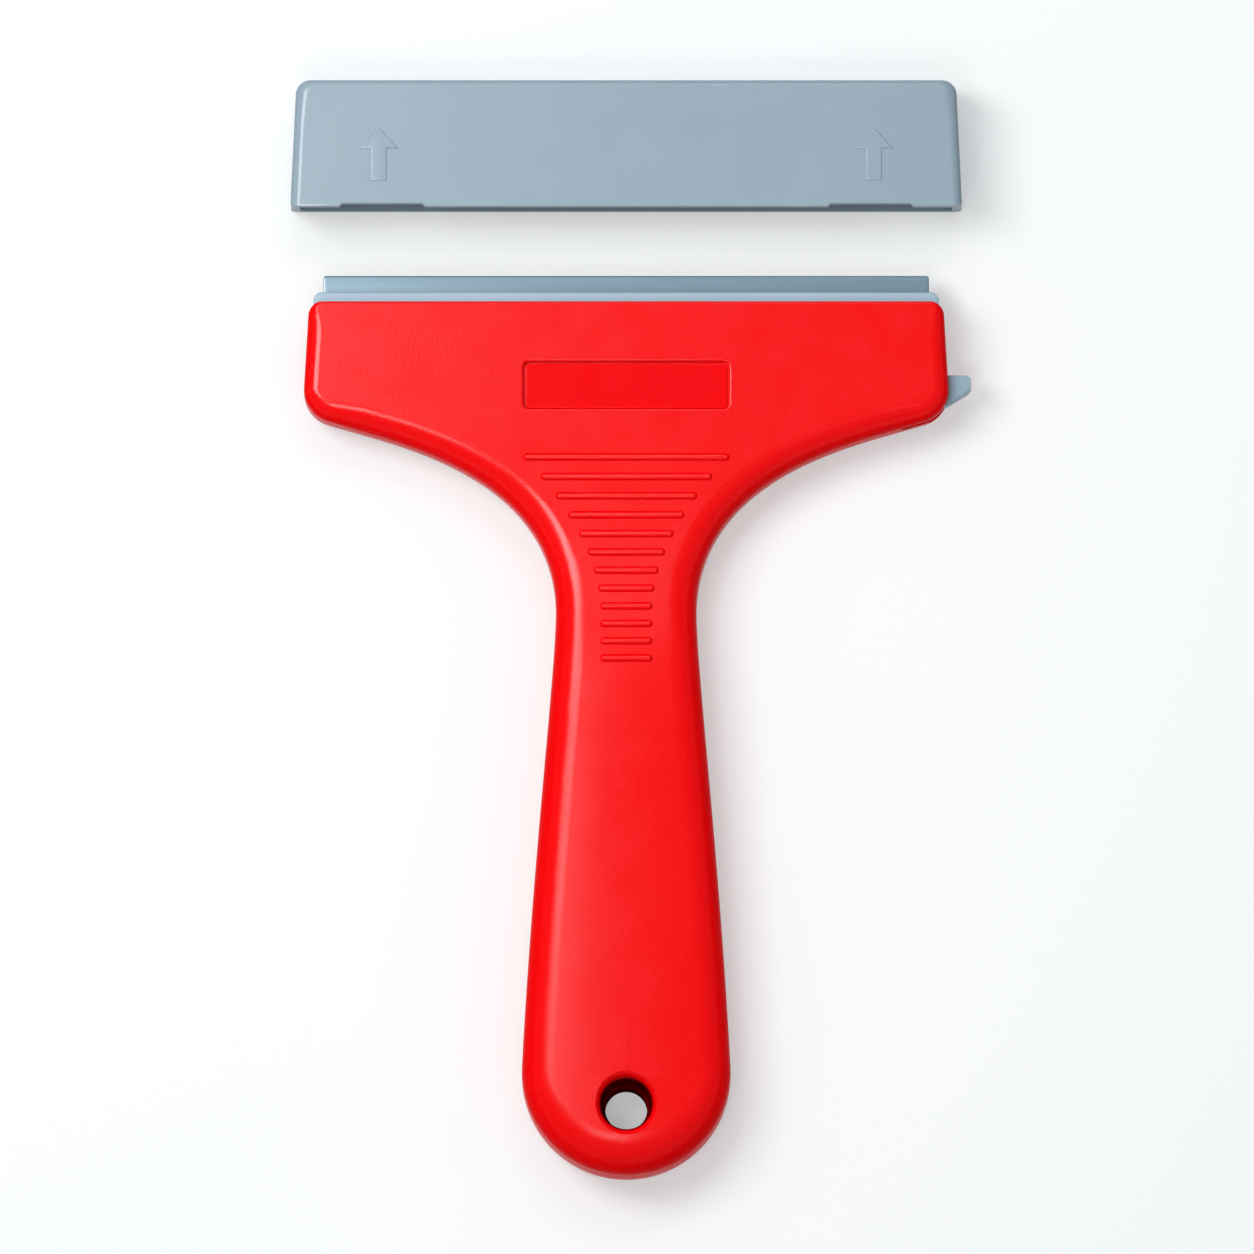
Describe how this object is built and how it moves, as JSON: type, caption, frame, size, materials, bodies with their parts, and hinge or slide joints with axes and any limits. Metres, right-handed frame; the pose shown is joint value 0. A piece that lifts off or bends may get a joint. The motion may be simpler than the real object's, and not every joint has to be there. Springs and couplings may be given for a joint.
{
  "type": "glass scraper",
  "caption": "Hand scraper for glass: a broad flat head holds a wide razor blade in a sprung carrier worked by a side lever, with a grip handle, a hanging hole and a lift-off blade guard.",
  "frame": {"origin": "on the flat back of the handle, on the centre line, in the neck", "axes": "+X along the blade to the lever's side, +Y from the handle to the blade, +Z out of the front of the scraper as it lies on its back"},
  "size_m": [0.1123, 0.1812, 0.0166],
  "materials": {
    "red_plastic": "satin moulded red plastic with a very fine grain",
    "label_red": "smooth glossy red inlay, bare",
    "guard_grey": "satin blue-grey moulded plastic",
    "carrier_grey": "satin pale blue-grey moulded plastic",
    "blade_steel": "ground blade steel with a bright honed edge",
    "screw_steel": "plain turned steel"
  },
  "bodies": {
    "body": {"front_shell": "red_plastic", "rear_shell": "red_plastic", "label_plate": "label_red", "lever_pin": "screw_steel", "lever_spring": "screw_steel", "shell_screw_head_left": "screw_steel", "shell_screw_head_right": "screw_steel", "shell_screw_head_middle": "screw_steel", "shell_screw_neck": "screw_steel", "shell_screw_handle_upper": "screw_steel", "shell_screw_handle_lower": "screw_steel"},
    "carrier": {"front_jaw": "carrier_grey", "rear_jaw": "carrier_grey", "blade": "blade_steel", "blade_stud_left": "screw_steel", "blade_stud_middle": "screw_steel", "blade_stud_right": "screw_steel"},
    "lever": {"release_lever": "carrier_grey", "drive_pin": "screw_steel"},
    "guard": {"blade_guard": "guard_grey"}
  },
  "joints": [
    {"name": "carrier_slide", "type": "slide", "parent": "body", "child": "carrier", "axis": [0, 1, 0], "range_m": [0, 0.00445]},
    {"name": "lever_swing", "type": "hinge", "parent": "body", "child": "lever", "pos_m": [0.036, 0.036, 0.0075], "axis": [0, 0, -1], "range_deg": [0, 16], "stiffness_Nm_per_rad": 0.15, "springref_deg": -20.05, "deforming": ["lever_spring"]},
    {"name": "guard_slide", "type": "slide", "parent": "body", "child": "guard", "axis": [0, -1, 0], "range_m": [0, 0.025]}
  ],
  "couplings": [
    {"joint": "lever_swing", "follows": "carrier_slide", "rad_per_m": 62.704}
  ]
}
